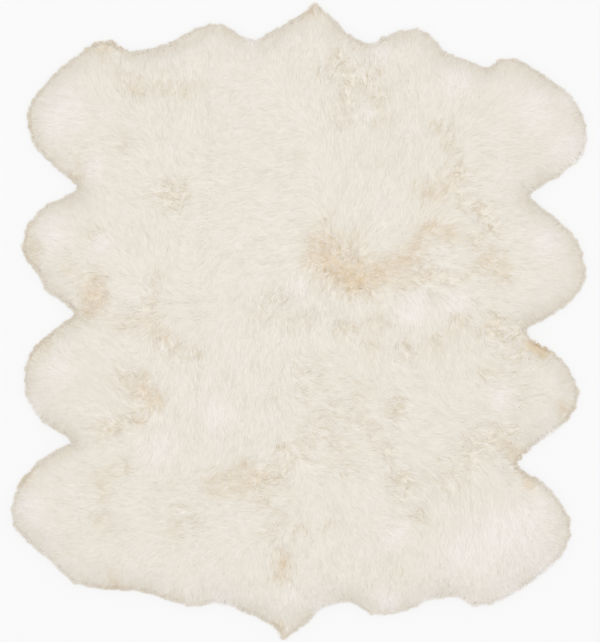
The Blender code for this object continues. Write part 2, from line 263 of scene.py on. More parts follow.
def stitch_tree():
    """Geometry Nodes that lay a slanting stitch across a line at every step along it."""
    tree = bpy.data.node_groups.new("overcast_seam", "GeometryNodeTree")
    tree.is_modifier = True
    add = partial(new_node, tree)
    kinds = {"Seams": "Geometry", **dict.fromkeys(SEWING, "Float"), "Thread": "Material"}
    for name, kind in kinds.items():
        tree.interface.new_socket(name, in_out="INPUT", socket_type="NodeSocket" + kind)
    tree.interface.new_socket("Stitches", in_out="OUTPUT", socket_type="NodeSocketGeometry")
    given = add("NodeGroupInput").outputs
    line = add("GeometryNodeMeshToCurve", {"Mesh": given["Seams"]})
    steps = add("GeometryNodeCurveToPoints", {"Curve": line, "Length": given["Every"]}, mode="LENGTH")
    along = {"Vector": steps.outputs["Tangent"]}
    turned = add("FunctionNodeAlignRotationToVector", along, axis="X", pivot_axis="Z")
    slant = add("ShaderNodeCombineXYZ", {"Z": given["Slant"]})
    turned = {"Rotation": turned, "Rotate By": slant}
    slanted = add("FunctionNodeRotateRotation", turned, rotation_space="LOCAL")
    size = add("ShaderNodeCombineXYZ", {"X": given["Long"], "Y": given["Thick"], "Z": given["Thick"]})
    grain = add("GeometryNodeMeshUVSphere", {"Segments": 5, "Rings": 4, "Radius": 0.5})
    sewing = {"Points": steps, "Instance": grain, "Rotation": slanted, "Scale": size}
    sewn = add("GeometryNodeInstanceOnPoints", sewing)
    real = add("GeometryNodeRealizeInstances", {"Geometry": sewn})
    painted = add("GeometryNodeSetMaterial", {"Geometry": real, "Material": given["Thread"]})
    add("NodeGroupOutput", {"Stitches": painted})
    return tree


def grown(name, source, tree, values):
    """The plain mesh that a tree makes of a source mesh, as a new object."""
    maker = placed(name + "_maker", source)
    modifier = maker.modifiers.new("maker", "NODES")
    modifier.node_group = tree
    for item in tree.interface.items_tree:
        if item.item_type == "SOCKET" and item.name in values:
            modifier[item.identifier] = values[item.name]
    ready = maker.evaluated_get(bpy.context.evaluated_depsgraph_get())
    mesh = bpy.data.meshes.new_from_object(ready)
    bpy.data.objects.remove(maker)
    mesh.name = name
    for helper in [a.name for a in mesh.attributes if not a.is_required and not a.is_internal]:
        if helper not in ("OFBake", "material_index", "sharp_face"):
            mesh.attributes.remove(mesh.attributes[helper])
    return placed(name, mesh)


seam_places, seam_edges = [], []
for i, node in enumerate(AROUND):
    for stretch in sewn_line(node, AROUND[i + 1 :]) if i < 5 else []:
        seam_edges += [(len(seam_places) + k, len(seam_places) + k + 1) for k in range(len(stretch) - 1)]
        seam_places += [(x, y, SKIN_UNDER) for x, y in stretch]
seams = new_mesh("seam_lines", seam_places, edges=seam_edges)
stitches = grown("seam_stitches", seams, stitch_tree(), {**SEWING, "Thread": make_thread()})
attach(stitches, "root")

# ---------------------------------------------------------------- the lie of the wool
# How high the wool stands and which way it has been combed, all over the rug. The height follows the
# solids and falls in one even curve to the rug's edge, and the wool is drawn out towards that edge.
GRID = 12 * MM  # pitch of the surface that the wool's tips lie on
RIM_TOP, CROWN_TOP = 5 * MM, 50 * MM  # height of the wool at its edge and on the crown
CROWN_IN = 110 * MM  # how far in from the edge the crown begins
RIM_BAND = 40 * MM  # up to here the height follows that curve alone, and the solids take over from it
TIP_PROUD = 2.5 * MM  # how far the finest tips reach past the ends of the locks
FLOOR_GAP = 0.6 * MM  # least height of any fibre above the floor
EDGE_PULL = 52 * MM  # how far in from the edge it still turns the wool outwards
NECK_POINTS = ((4 * MM, 3 * MM), (0.0, -6 * MM))  # where the longest wool reaches at the two necks
NECK_FULL = 28 * MM  # how far about these points it grows more densely and is drawn to them,
NECK_DRAW = 80.0  # how strongly, against a pull of about 1 by the nearest edge,
NECK_PUSH = 0.6  # and how much of the way to its point the underwool reaches
COMB_DRAW = 2.0  # how strongly each stroke of the comb draws the wool, on the same measure
PART_DRAW = 0.15  # and how strongly it is drawn away from the middle of each opened place
# the strokes of the comb: x and y in mm, the way it went in degrees from +X, and its reach in mm
COMBED = (
    (-545, 720, 95, 70), (-690, 575, 180, 100), (-660, 490, 185, 90), (-485, 490, 150, 60),
    (-545, 435, 165, 60), (-615, 305, 130, 60), (-570, 245, 135, 60), (-685, 175, 180, 80),
    (-485, 245, 140, 60), (-430, 215, 115, 55), (-645, 90, 180, 60), (-370, 175, 90, 60),
    (-315, 700, 90, 90), (-315, 550, 88, 80), (-240, 165, 238, 70), (-140, 375, 192, 120),
    (-80, 290, 190, 100), (-140, 630, 210, 90), (-10, 480, 195, 80), (5, 710, 75, 80), (90, 560, 85, 60),
    (150, 430, 80, 100), (240, 340, 82, 90), (320, 470, 82, 90), (260, 760, 90, 90), (320, 620, 88, 80),
    (460, 680, 82, 80), (410, 550, 58, 60), (605, 490, 5, 120), (640, 205, 0, 120), (500, 165, 0, 70),
    (290, 170, 0, 70), (405, 150, 0, 60), (330, -20, 272, 90), (420, -60, 280, 80), (35, 40, 265, 70),
    (-140, 30, 262, 60), (-200, -150, 268, 90), (-340, -150, 270, 90), (-280, -300, 270, 100),
    (-370, -370, 272, 60), (-515, -180, 137, 80), (-645, -40, 135, 60), (-570, -370, 182, 70),
    (-600, -520, 180, 120), (-380, -545, 180, 120), (-180, -520, 180, 90), (-85, -190, 268, 70),
    (60, -200, 0, 80), (205, -85, 285, 60), (305, -145, 340, 60), (435, -130, 285, 60),
    (515, -290, 355, 90), (120, -330, 355, 70), (545, -600, 275, 110), (610, -470, 278, 80),
    (420, -770, 240, 80), (150, -550, 300, 60), (260, -550, 355, 50), (-75, -760, 270, 80),
    (-350, -740, 245, 90), (-260, 62, 180, 60),
)
# where the wool falls apart: x, y and reach in mm, how much of its yellower depth shows, and how
# ruffled it is there
OPENED = (
    (62, 235, 34, 0.4, 0.5), (85, 182, 38, 0.42, 0.9), (105, 145, 38, 0.51, 0.9),
    (145, 122, 38, 0.5, 0.9), (185, 124, 36, 0.48, 0.8), (48, 172, 28, 0.4, 0.5),
    (80, 285, 26, 0.18, 0.5), (272, 106, 26, 0.35, 0.3), (205, 104, 32, 0.45, 0.4),
    (152, 90, 28, 0.32, 0.5), (312, 114, 28, 0.35, 0.3), (155, 226, 28, 0.25, 0.3),
    (420, 250, 32, 0.62, 0.4), (225, 140, 34, 0.56, 0.6), (120, 185, 40, 0.2, 0.5),
    (175, 175, 40, 0.22, 0.5), (265, 160, 34, 0.6, 0.2), (305, 185, 32, 0.6, 0.2),
    (335, 235, 28, 0.65, 0.6), (370, 265, 28, 0.55, 0.6), (375, 345, 34, 0.4, 0.3),
    (410, 380, 26, 0.45, 0.5), (450, 420, 34, 0.18, 0.8), (420, 490, 28, 0.15, 0.6),
    (395, 545, 28, 0.15, 0.5), (515, 315, 34, 0.12, 0.8), (540, 265, 28, 0.12, 0.9),
    (490, 235, 26, 0.25, 0.6), (545, 170, 40, 0.4, 0.3), (575, 130, 28, 0.35, 0.3),
    (360, 125, 28, 0.22, 0.7), (420, 120, 26, 0.2, 0.6), (120, 745, 34, 0.06, 0.7),
    (150, 680, 38, 0.06, 0.9), (130, 605, 34, 0.05, 0.6), (220, 635, 32, 0.12, 0.7),
    (120, 550, 26, 0.15, 0.5), (235, 565, 40, 0.12, 0.3), (5, 450, 40, 0.15, 0.0),
    (85, 225, 30, 0.3, 0.6), (30, 15, 34, 0.08, 0.5), (130, -5, 34, 0.15, 0.7), (220, 10, 28, 0.12, 0.6),
    (450, 10, 32, 0.18, 0.7), (550, -10, 34, 0.25, 0.8), (620, -30, 32, 0.22, 0.6),
    (680, -72, 32, 1.0, 0.7), (645, -70, 24, 0.1, 0.6), (305, -70, 36, 0.0, 0.7),
    (262, -255, 34, 0.3, 0.6), (160, -215, 28, 0.05, 0.4), (205, -55, 26, 0.15, 0.4),
    (520, -140, 34, 0.2, 0.4), (748, -252, 32, 0.85, 0.3), (694, -100, 28, 0.95, 0.6),
    (590, -310, 34, 0.15, 0.6), (612, -375, 38, 0.58, 0.8), (550, -330, 34, 0.16, 0.8),
    (640, -405, 28, 0.35, 0.6), (655, -466, 32, 0.8, 0.4), (-440, -200, 40, 0.36, 0.8),
    (-420, -235, 28, 0.42, 0.8), (-398, -218, 26, 0.35, 0.5), (-490, -175, 34, 0.22, 0.5),
    (-515, -300, 32, 0.16, 0.9), (-455, -280, 28, 0.2, 0.9), (-555, -320, 26, 0.25, 0.6),
    (-385, -40, 34, 0.2, 0.7), (-305, -85, 32, 0.02, 0.4), (-430, 10, 34, 0.3, 0.5),
    (-485, -5, 34, 0.25, 0.4), (-575, 110, 38, 0.38, 0.7), (-600, 75, 34, 0.42, 0.7),
    (-550, 60, 28, 0.42, 0.6), (-645, 145, 28, 0.28, 0.4), (-580, 235, 26, 0.15, 0.5),
    (-435, -150, 26, 0.25, 0.6), (350, 361, 30, 0.3, 0.5), (195, -316, 30, 0.15, 0.4),
    (-235, -490, 28, 0.3, 0.3), (-350, 340, 28, 0.1, 0.8), (-375, 370, 26, 0.1, 0.7),
    (-320, 370, 26, 0.12, 0.8), (-455, 650, 34, 0.09, 0.6), (-560, 770, 46, 0.74, 0.3),
    (35, 872, 30, 0.8, 0.3), (-770, -468, 34, 0.8, 0.1), (-745, 178, 30, 0.6, 0.2),
    (-755, 575, 34, 0.6, 0.1), (-735, 640, 30, 0.4, 0.1), (385, -50, 30, 0.22, 0.5),
    (-328, 640, 28, 0.3, 0.4), (157, -275, 26, 0.2, 0.4), (-640, -665, 30, 0.3, 0.1),
    (-756, 225, 40, 0.7, 0.2), (-600, 25, 40, 0.7, 0.5), (-640, -12, 30, 0.4, 0.3),
    (-718, -75, 40, 0.75, 0.2), (-745, -115, 30, 0.5, 0.1), (-618, 418, 36, 0.7, 0.3),
    (-385, 660, 32, 0.12, 0.6), (-485, 670, 30, 0.12, 0.6), (-285, 650, 28, 0.15, 0.1),
    (-485, 505, 28, 0.15, 0.5), (-410, 110, 34, 0.1, 0.5), (-420, 55, 30, 0.15, 0.8),
    (-240, -445, 32, 0.3, 0.4), (-185, -465, 42, 0.42, 0.4), (-125, -450, 34, 0.33, 0.5),
    (-85, -435, 28, 0.2, 0.7), (-146, -402, 28, 0.5, 0.3), (-48, -405, 26, 0.18, 0.4),
    (-155, -490, 28, 0.25, 0.2), (-90, -515, 22, 0.2, 0.7), (-45, -455, 22, 0.15, 0.6),
    (-40, -555, 22, 0.08, 0.4), (-80, -600, 22, 0.15, 0.5), (-45, -685, 26, 0.58, 0.8),
    (-48, -645, 22, 0.2, 0.4), (-50, -862, 28, 0.75, 0.3), (-50, -725, 26, 0.45, 0.5),
    (5, -585, 22, 0.15, 0.6), (-45, -355, 26, 0.15, 0.7), (-85, -215, 28, 0.1, 0.4),
    (5, -200, 28, 0.0, 0.3), (-10, -385, 28, 0.12, 0.6), (-540, -452, 34, 0.44, 0.1),
    (-545, -497, 28, 0.5, 0.2), (-490, -420, 32, 0.2, 0.6), (-545, -572, 34, 0.22, 0.3),
    (-348, -590, 36, 0.26, 0.3), (-285, -555, 28, 0.15, 0.2), (-530, -735, 38, 0.8, 0.1),
    (-345, -778, 38, 0.8, 0.1), (-690, -670, 32, 0.7, 0.1), (-430, -760, 28, 0.2, 0.0),
    (335, -550, 32, 0.08, 0.7), (295, -485, 32, 0.05, 0.6), (275, -445, 36, 0.1, 0.7),
    (245, -370, 32, 0.1, 0.7), (490, -400, 32, 0.08, 0.5), (435, -445, 32, 0.06, 0.4),
    (130, -430, 28, 0.03, 0.4), (90, -355, 28, 0.1, 0.4), (90, -570, 28, 0.1, 0.3),
    (260, -685, 34, 0.12, 0.2), (90, -730, 32, 0.15, 0.1), (-170, -775, 34, 0.15, 0.1),
    (450, 348, 34, 0.18, 0.6), (-25, 5, 28, 0.1, 0.3), (-125, 5, 28, 0.1, 0.3), (560, -25, 55, 0.0, 0.6),
    (600, -115, 50, 0.0, 0.45), (630, -225, 45, 0.0, 0.4), (490, -345, 45, 0.0, 0.6),
    (150, -200, 60, 0.0, 0.15), (90, -255, 50, 0.0, 0.3), (5, -145, 60, 0.0, 0.4),
    (-70, 60, 50, 0.0, 0.5), (90, 700, 45, 0.0, 0.35), (215, 700, 45, 0.0, 0.5), (405, 550, 36, 0.0, 0.3),
    (375, 150, 60, 0.05, 0.6), (520, 165, 50, 0.06, 0.5), (-355, -70, 45, 0.0, 0.3),
    (-370, 370, 45, 0.0, 0.4), (-40, -620, 36, 0.0, 0.2), (-100, -460, 45, 0.0, 0.5),
    (-310, -560, 50, 0.0, 0.25), (400, -430, 60, 0.0, 0.3), (30, -320, 60, 0.03, 0.4),
)
# where it is lightest, bleached or with less of the painted shade at the rug's edge: x, y and reach in mm
BLEACHED_OR_LESS_SHADED = (
    (-650, 590, 65), (-570, 435, 35), (-685, 245, 40), (-545, 205, 30), (-430, 60, 30), (-670, -140, 45),
    (-400, -350, 40), (-235, -245, 38), (-745, -530, 45), (320, 55, 45), (435, 60, 40), (405, 160, 30),
    (650, 600, 50), (450, 665, 40), (690, 220, 40), (565, -600, 85), (650, -545, 55), (550, -215, 35),
    (190, 575, 25), (5, 120, 25), (235, 750, 30), (700, -690, 60), (590, -760, 50), (480, -800, 50),
    (370, -800, 50), (-135, 780, 30), (50, -800, 30), (755, 620, 30), (250, -780, 35), (-25, -755, 25),
    (250, -600, 35), (470, -640, 60), (-745, -238, 35), (100, -820, 45), (-220, -790, 50),
    (-340, -770, 40), (-690, -680, 55), (770, 500, 60), (720, -310, 45),
)
draw = np.random.default_rng(1904)

edge = []
for corners, tips, _ in plans.values():
    gaps = np.hypot(*(tips - np.roll(tips, 1, axis=0)).T)
    edge.append(np.roll(tips, -int(np.argmax(gaps)), axis=0))
edge = np.vstack(edge)  # the rug's whole edge, from lock tip to lock tip
necks = [int(np.argmax(edge[:, 1])), int(np.argmin(edge[:, 1]))]
edge[necks] += NECK_POINTS


def to_edge(places, line=None):
    """How far each place is from a closed line, by default the rug's edge."""
    line = edge if line is None else line
    start, step = line, np.roll(line, -1, axis=0) - line
    off = places[:, None] - start[None]
    share = np.clip((off * step).sum(2) / (step**2).sum(1), 0, 1)
    return np.hypot(*(off - share[..., None] * step).transpose(2, 0, 1)).min(1)


def within(places, line):
    """Whether each place is inside a closed line."""
    (x, y), (ax, ay), (bx, by) = places.T[..., None], line.T, np.roll(line, -1, axis=0).T
    crossed = ((ay > y) != (by > y)) & (x < (bx - ax) * (y - ay) / (by - ay + 1e-12) + ax)
    return crossed.sum(1) % 2 == 1


def solid_tops(places):
    """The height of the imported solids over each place."""
    verts, faces = [], []
    for node in AROUND:
        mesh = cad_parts[node].data
        faces += [[v + len(verts) for v in p.vertices] for p in mesh.polygons]
        verts += [v.co.copy() for v in mesh.vertices]
    tree = BVHTree.FromPolygons(verts, faces)
    found = np.zeros(len(places))
    for nudge in ((0.0, 0.0), (0.3 * MM, 0.2 * MM)):  # as a ray that meets an edge can slip through
        for i, (x, y) in enumerate(places + nudge):
            hit = tree.ray_cast(Vector((x, y, 1.0)), Vector((0, 0, -1)))[0]
            if hit:
                found[i] = max(found[i], hit.z)
    return found


xs = np.arange(cad_low.x - 4 * GRID, cad_high.x + 5 * GRID, GRID)
ys = np.arange(cad_low.y - 4 * GRID, cad_high.y + 5 * GRID, GRID)
grid_places = np.stack(np.meshgrid(xs, ys), axis=2).reshape(-1, 2)
depth_in = to_edge(grid_places) * np.where(within(grid_places, edge), 1, -1)
fall = RIM_TOP + (CROWN_TOP - RIM_TOP) * (1 - (1 - np.clip(depth_in / CROWN_IN, 0, 1)) ** 2)
own = np.clip((depth_in - RIM_BAND) / (CROWN_IN - RIM_BAND), 0, 1)
tops = (solid_tops(grid_places) * own + fall * (1 - own)).reshape(len(ys), len(xs))
for _ in range(2):  # takes the creases out of it
    padded_tops = np.pad(tops, 1, mode="edge")
    tops = (
        padded_tops[1:-1, 1:-1] * 2
        + padded_tops[:-2, 1:-1]
        + padded_tops[2:, 1:-1]
        + padded_tops[1:-1, :-2]
        + padded_tops[1:-1, 2:]
    ) / 6


def wool_top(places):
    """The height of the wool's surface over each place, read between the points of its grid."""
    col = (places[:, 0] - xs[0]) / GRID
    row = (places[:, 1] - ys[0]) / GRID
    c, r = col.astype(int), row.astype(int)
    u, v = col - c, row - r
    low = tops[r, c] * (1 - u) + tops[r, c + 1] * u
    high = tops[r + 1, c] * (1 - u) + tops[r + 1, c + 1] * u
    return low * (1 - v) + high * v


def nearness(places, x, y, reach):
    """How near each place is to one given in mm, from 1 there to nothing well past its reach."""
    return np.exp(-((np.hypot(*(places - (x * MM, y * MM)).T) / (reach * MM)) ** 2))


def combed(places):
    """The level direction in which the wool lies at each place."""
    pull = edge[None] - places[:, None]
    far = np.hypot(*pull.transpose(2, 0, 1))
    pitch = np.hypot(*(edge - np.roll(edge, 1, axis=0)).T)
    lie = (pull * (pitch / np.maximum(far, 6 * MM) ** 4)[..., None]).sum(1) * EDGE_PULL**2
    for x, y, toward, reach in COMBED:
        way = np.array((math.cos(math.radians(toward)), math.sin(math.radians(toward))))
        lie += COMB_DRAW * nearness(places, x, y, reach)[:, None] * way
    for point in edge[necks]:
        pull = point - places
        far = np.maximum(np.hypot(*pull.T), 1 * MM)
        lie += NECK_DRAW * (np.exp(-((far / NECK_FULL) ** 2)) / far)[:, None] * pull
    for x, y, reach, much, _ in OPENED:
        away = places - (x * MM, y * MM)
        lie += PART_DRAW * much * nearness(places, x, y, reach)[:, None] * away / (reach * MM)
    return lie / np.maximum(np.hypot(*lie.T), 1e-9)[:, None]


def spread_of_places(places):
    """How far each place is opened, ruffled, and bleached or spared the painted shade at the rug's edge,
    from 0 to 1.
    """
    opened, ruffled, bleached = (np.zeros(len(places)) for _ in range(3))
    for x, y, reach, much, wild in OPENED:
        near = nearness(places, x, y, reach)
        opened = 1 - (1 - opened) * (1 - much * near)
        ruffled = 1 - (1 - ruffled) * (1 - wild * near)
    for x, y, reach in BLEACHED_OR_LESS_SHADED:
        bleached = 1 - (1 - bleached) * (1 - nearness(places, x, y, reach))
    return opened, ruffled, bleached


# ---------------------------------------------------------------- the wool
# Long lambswool, washed, combed and bleached a warm white, still growing from each skin. The dense
# underwool stands close on the skin, and the staples of long fibres lie over it, over the seams too.
WOOL_PITCH = 10 * MM  # spacing of the points of the underwool
UNDER_DEPTH = 1.5 * MM  # how far the underwool's top is below the lie of the staples,
UNDER_SHARE = 0.4  # but no more than this share of the wool's height
UNDER_LOW = 2.6 * MM
RIM_PUSH = 0.70  # how much of a rim lock's length the underwool fills
RIM_SHADE = 60 * MM  # how far in from the edge the wool is drawn darker, a painted shade where it turns down to the floor
RIM_MORE = 1.6  # how densely the wool grows on the sides at the rug's edge, against the open pelt,
NECK_MORE = 4.0  # how much more densely about the two necks,
SEAM_END_MORE = 2.2  # and where a seam runs out at the rim
SEAM_END_REACH = 24 * MM
GROWTH = {  # how the staples grow and lie, for the inputs of their tree
    "Per Area": 78200.0,
    "Long": 36 * MM,
    "Wide": 1.9 * MM,
    "Proud": TIP_PROUD,
    "Spread": math.radians(31),  # of single staples about the way they were combed
    "Drift": math.radians(70),  # of their common way, over the pelt
    "Ruffle": math.radians(150),  # of each tuft's way where the wool is ruffled
    "Bend": 0.35,  # sideways, as a share of the length
    "Crimp": 0.7 * MM,
    "Clump Size": 17 * MM,
    "Clump Pull": 0.08,
    "Loft": 1.0 * MM,
    "Tuft Loft": 1.5 * MM,
    "Turned Up": 1.5 * MM,
    "Flyaway": 8 * MM,
    "Roll": math.radians(5),
    "Brim Height": 2.2 * MM,  # of the wool that grows under the brim, at most
    "Least Height": FLOOR_GAP,
}


def underwool_plan(node):
    """The underwool's outline: the skin's, pushed out into the locks at the rug's edge."""
    corners, tips, lock_after = plans[node]
    pushed = corners.copy()
    for i in range(len(corners)):
        ways = []
        for lock in (lock_after.get(i), lock_after.get((i - 1) % len(corners))):
            if lock is not None:
                first = i if lock == lock_after.get(i) else i - 1
                ways.append(tips[lock] - (corners[first] + corners[(first + 1) % len(corners)]) / 2)
        if ways:
            way = np.mean(ways, axis=0)
            pushed[i] += way / np.hypot(*way) * min(np.hypot(*w) for w in ways) * RIM_PUSH
    for point in edge[necks]:
        far = np.hypot(*(point - pushed).T)
        nearest = int(np.argmin(far))
        if far[nearest] < 2 * NECK_FULL:
            pushed[nearest] += (point - pushed[nearest]) * NECK_PUSH
    return pushed


def divided(outline, other, pitch):
    """Two closed lines with points added to both in step, on the first no further apart than the pitch."""
    places, others = [], []
    for i in range(len(outline)):
        a, b, c, d = outline[i - 1], outline[i], other[i - 1], other[i]
        count = max(1, math.ceil(math.dist(a, b) / pitch))
        places += [a + (b - a) * k / count for k in range(count)]
        others += [c + (d - c) * k / count for k in range(count)]
    return np.array(places), np.array(others)


seam_ends = []
for i, node in enumerate(AROUND[:-1]):
    for stretch in sewn_line(node, AROUND[i + 1 :]):
        seam_ends += [end for end in (stretch[0], stretch[-1]) if to_edge(end[None])[0] < RIM_SHADE]
seam_ends = np.array(seam_ends)


def underwool(node):
    """The closed body of a pelt's underwool, with what its staples need to know at each point."""
    outline, sewn_edge = divided(underwool_plan(node), plans[node][0], WOOL_PITCH)
    low, high = outline.min(0), outline.max(0)
    rows = np.arange(low[1], high[1], WOOL_PITCH * 0.866)  # in even triangles
    cols = np.arange(low[0], high[0], WOOL_PITCH)
    inner = np.array([(x + WOOL_PITCH / 2 * (k % 2), y) for k, y in enumerate(rows) for x in cols])
    inner += draw.uniform(-0.2, 0.2, inner.shape) * WOOL_PITCH
    inner = inner[within(inner, outline)]
    inner = inner[to_edge(inner, outline) > WOOL_PITCH / 2]
    places = np.vstack([outline, inner])
    count = len(outline)
    _, _, faces, sources, _, _ = delaunay_2d_cdt(
        [Vector(p) for p in places], [], [list(range(count))], 1, 1e-7
    )
    source = [s[0] for s in sources]
    top = wool_top(places)
    top -= np.minimum(UNDER_DEPTH, UNDER_SHARE * top)
    verts = [(*p, z) for p, z in zip(places, top)]
    verts += [(*p, UNDER_LOW) for p in outline]
    upper = [[source[v] for v in face] for face in faces]
    sides = [(len(places) + i, len(places) + (i + 1) % count, (i + 1) % count, i) for i in range(count)]
    lower = [len(places) + i for i in range(count)]
    inmost = []  # the skin's edge, where the wool turns under it
    for i in range(count):
        apart = math.dist(outline[i], sewn_edge[i]) > 0.5 * MM
        inmost.append(len(verts) if apart else lower[i])
        if apart:
            verts.append((*sewn_edge[i], UNDER_LOW))
    brim = [(lower[i - 1], inmost[i - 1], inmost[i], lower[i]) for i in range(count)]
    brim = [tuple(dict.fromkeys(face)) for face in brim]
    brim = [face for face in brim if len(face) > 2]
    name = node.replace("pelt", "underwool")
    mesh = new_mesh(name, verts, faces=upper + sides + brim + [inmost[::-1]])
    mesh.update()
    every = np.array([vert[:2] for vert in verts])
    opened, ruffled, bleached = spread_of_places(every)
    deep = np.concatenate([wool_top(places) - top, wool_top(every[len(places) :]) - UNDER_LOW])
    way = combed(every)
    far_in = to_edge(every)
    rooted = np.array([1 + 0.6 * ruffled[list(p.vertices)].mean() for p in mesh.polygons])
    beneath = np.zeros(len(mesh.polygons))
    fuller = (edge[necks], NECK_MORE, NECK_FULL), (seam_ends, SEAM_END_MORE, SEAM_END_REACH)
    for polygon in mesh.polygons[: len(upper)]:
        for spots, more, reach in fuller:
            far = np.hypot(*(spots - polygon.center[:2]).T).min()
            rooted[polygon.index] *= 1 + more * math.exp(-((far / reach) ** 2))
    for polygon in mesh.polygons[len(upper) :]:
        middle = np.array(polygon.center[:2])[None]
        at_rim = to_edge(middle)[0] < RIM_BAND and len(polygon.vertices) < 5
        rooted[polygon.index] = RIM_MORE if at_rim else 0
        beneath[polygon.index] = polygon.index >= len(upper) + count
    for name, kind, domain, values in (
        ("comb", "FLOAT_VECTOR", "POINT", np.column_stack([way, np.zeros(len(way))])),
        ("deep", "FLOAT", "POINT", deep),
        ("rim", "FLOAT", "POINT", np.clip(1 - far_in / RIM_SHADE, 0, 1)),
        ("opened", "FLOAT", "POINT", opened),
        ("ruffled", "FLOAT", "POINT", ruffled),
        ("bleached", "FLOAT", "POINT", bleached),
        ("rooted", "FLOAT", "FACE", rooted),
        ("beneath", "FLOAT", "FACE", beneath),
    ):
        data = mesh.attributes.new(name, kind, domain).data
        data.foreach_set("vector" if kind == "FLOAT_VECTOR" else "value", np.ravel(values))
    return mesh


MATH, VECTOR_MATH = "ShaderNodeMath", "ShaderNodeVectorMath"  # the tree is mostly these two


def wool_tree():
    """Geometry Nodes that root staples all over the underwool and lay them the way it was combed."""
    tree = bpy.data.node_groups.new("combed_staples", "GeometryNodeTree")
    tree.is_modifier = True
    add = partial(new_node, tree)
    kinds = {"Underwool": "Geometry", "Surface": "Object", "Rug Edge": "Object", "Seed": "Int"}
    for name, kind in {**kinds, **dict.fromkeys(GROWTH, "Float"), "Wool": "Material"}.items():
        tree.interface.new_socket(name, in_out="INPUT", socket_type="NodeSocket" + kind)
    tree.interface.new_socket("Pelt", in_out="OUTPUT", socket_type="NodeSocketGeometry")
    given = add("NodeGroupInput").outputs

    # roots, each with its place and six numbers of chance
    rooted = add("GeometryNodeInputNamedAttribute", {"Name": "rooted"}, data_type="FLOAT")
    rooted = (given["Per Area"], rooted.outputs["Attribute"])
    sown = {
        "Mesh": given["Underwool"],
        "Density": add(MATH, rooted, operation="MULTIPLY"),
        "Seed": given["Seed"],
    }
    roots = add("GeometryNodeDistributePointsOnFaces", sown)
    place = add("GeometryNodeInputPosition")
    second = add(MATH, (given["Seed"], 50.0), operation="ADD")
    chance = add("FunctionNodeRandomValue", {"Seed": given["Seed"]}, data_type="FLOAT_VECTOR")
    luck = add("FunctionNodeRandomValue", {"Seed": second}, data_type="FLOAT_VECTOR")

    # one flat staple of two parts, told across and along, set at every root
    strip = add("GeometryNodeMeshGrid", {"Vertices X": 2, "Vertices Y": 3})
    stored = []
    numbers = {"root": place, "chance": chance, "luck": luck}
    for mesh, values in ((roots, numbers), (strip, {"strip": place})):
        for name, value in values.items():
            mesh = add(
                "GeometryNodeStoreNamedAttribute",
                {"Geometry": mesh, "Name": name, "Value": value},
                data_type="FLOAT_VECTOR",
                domain="POINT",
            )
        stored.append(mesh)
    staples = add("GeometryNodeInstanceOnPoints", {"Points": stored[0], "Instance": stored[1]})
    real = add("GeometryNodeRealizeInstances", {"Geometry": staples})
    told = {}
    for kind, names in (
        ("FLOAT_VECTOR", ("strip", "root", "chance", "luck", "comb")),
        ("FLOAT", ("deep", "rim", "opened", "ruffled", "bleached", "beneath")),
    ):
        for name in names:
            asked = add("GeometryNodeInputNamedAttribute", {"Name": name}, data_type=kind)
            told[name] = asked.outputs["Attribute"]
    strip_x, strip_y, _ = add("ShaderNodeSeparateXYZ", (told["strip"],)).outputs
    turn, long_by, loft_by = add("ShaderNodeSeparateXYZ", (told["chance"],)).outputs
    short_by, bend_by, roll_by = add("ShaderNodeSeparateXYZ", (told["luck"],)).outputs
    along = add(MATH, (strip_y, 0.5), operation="ADD")
    stray, bend, roll, odd = (
        add(MATH, (number, 0.5), operation="SUBTRACT")
        for number in (turn, bend_by, roll_by, loft_by)
    )

    # slow changes over the pelt: of its lie over 45 mm, of its tone over 140 mm, and from lock to lock
    slow = []
    for scale, detail, middle in ((22.0, 2.0, 0.5), (7.0, 3.0, 0.5), (150.0, 0.0, 0.45)):
        noise = add("ShaderNodeTexNoise", {"Vector": told["root"], "Scale": scale, "Detail": detail})
        slow.append(add(MATH, (noise, middle), operation="SUBTRACT"))
    drift, cloud, lock = slow

    # its tuft: the staples near one another share a heart that they lean to, and a turn of their own
    level = add(VECTOR_MATH, (told["root"], (1, 1, 0)), operation="MULTIPLY")
    tufts = add(MATH, (1.0, given["Clump Size"]), operation="DIVIDE")
    tuft = add("ShaderNodeTexVoronoi", {"Vector": level, "Scale": tufts}, voronoi_dimensions="2D").outputs
    tuft_turn, tuft_tone, tuft_rise = add("ShaderNodeSeparateXYZ", (tuft["Color"],)).outputs
    hidden = add(MATH, (told["opened"], -0.9, 1.0), operation="MULTIPLY_ADD")
    crisp = add(MATH, (told["ruffled"], hidden), operation="MULTIPLY")
    unruly = add(MATH, (crisp, 7.0, 1.0), operation="MULTIPLY_ADD")

    # the way a staple lies: the comb's, drifting over the pelt, and turned by its tuft where ruffled
    drift = add(MATH, (drift, given["Drift"]), operation="MULTIPLY")
    astray = add(MATH, (tuft_turn, 0.5), operation="SUBTRACT")
    astray = add(MATH, (astray, told["ruffled"]), operation="MULTIPLY")
    drift = add(MATH, (astray, given["Ruffle"], drift), operation="MULTIPLY_ADD")
    wild = add(MATH, (told["ruffled"], 1.5, 1.0), operation="MULTIPLY_ADD")
    wild = add(MATH, (wild, given["Spread"]), operation="MULTIPLY")
    angle = add(MATH, (stray, wild, drift), operation="MULTIPLY_ADD")
    turned_comb = {"Vector": told["comb"], "Angle": angle}
    way = add("ShaderNodeVectorRotate", turned_comb, rotation_type="Z_AXIS")
    way = add(VECTOR_MATH, (way,), operation="NORMALIZE")
    side = add(VECTOR_MATH, (way, (0, 0, 1)), operation="CROSS_PRODUCT")

    # how far it has to go to the rug's edge
    wall = add("GeometryNodeObjectInfo", {"Object": given["Rug Edge"]}, transform_space="ORIGINAL")
    sight = {"Target Geometry": wall.outputs["Geometry"], "Source Position": level, "Ray Direction": way}
    met = add("GeometryNodeRaycast", {**sight, "Ray Length": 2.0}).outputs["Hit Distance"]
    room = add(MATH, (met, given["Proud"]), operation="ADD")
